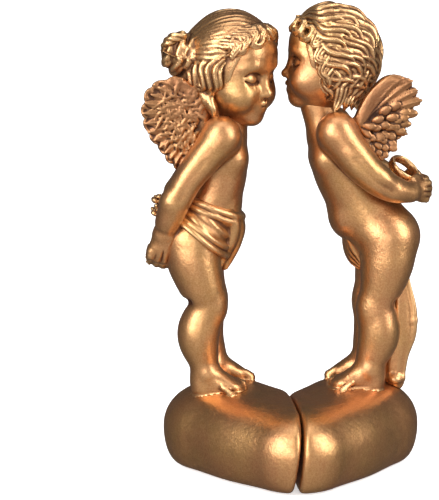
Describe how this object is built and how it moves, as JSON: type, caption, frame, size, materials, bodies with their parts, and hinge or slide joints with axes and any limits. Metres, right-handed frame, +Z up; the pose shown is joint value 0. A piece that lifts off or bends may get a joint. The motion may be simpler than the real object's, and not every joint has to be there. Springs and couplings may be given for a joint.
{
  "type": "resin angel figurine pair",
  "caption": "Kissing cherub pair in gold-painted cast resin, each figure on its own half of a puffy heart base that parts at a seam.",
  "frame": {"origin": "on the surface the pair stands on, under the middle of the closed heart and beside its seam, on the right half's felt", "axes": "+Z up, +X from the left figure to the right figure, -Y towards the front, where the heart has its tip"},
  "size_m": [0.1277, 0.0905, 0.2008],
  "materials": {
    "gold_satin": "cast polyresin under satin antique-gold metallic paint with a fine grain",
    "gold_gloss": "the same gold paint, glossier and burnished on raised strands and feathers, darker in the grooves",
    "bare_resin": "unpainted cream polyresin",
    "steel_dowel": "drawn steel rod",
    "felt": "dark brown pressed felt"
  },
  "bodies": {
    "right_angel": {"right_base": "gold_satin", "right_felt_pad": "felt", "right_dowels": "steel_dowel", "right_body": "gold_satin", "right_head": "gold_satin", "right_hair": "gold_gloss", "right_near_arm": "gold_satin", "right_far_arm": "gold_satin", "right_near_wing": "gold_gloss", "right_far_wing": "gold_gloss", "right_wing_pegs": "bare_resin", "right_loincloth": "gold_satin", "right_drape": "gold_satin", "right_ring": "gold_gloss"},
    "left_angel": {"left_base": "gold_satin", "left_felt_pad": "felt", "left_dowels": "steel_dowel", "left_body": "gold_satin", "left_head": "gold_satin", "left_hair": "gold_gloss", "left_near_arm": "gold_satin", "left_far_arm": "gold_satin", "left_near_wing": "gold_gloss", "left_far_wing": "gold_gloss", "left_wing_pegs": "bare_resin", "left_loincloth": "gold_satin", "left_bouquet": "gold_gloss"}
  },
  "joints": [
    {"name": "pair_apart", "type": "slide", "parent": "right_angel", "child": "left_angel", "axis": [-1, 0, 0], "range_m": [0, 0.05]}
  ]
}
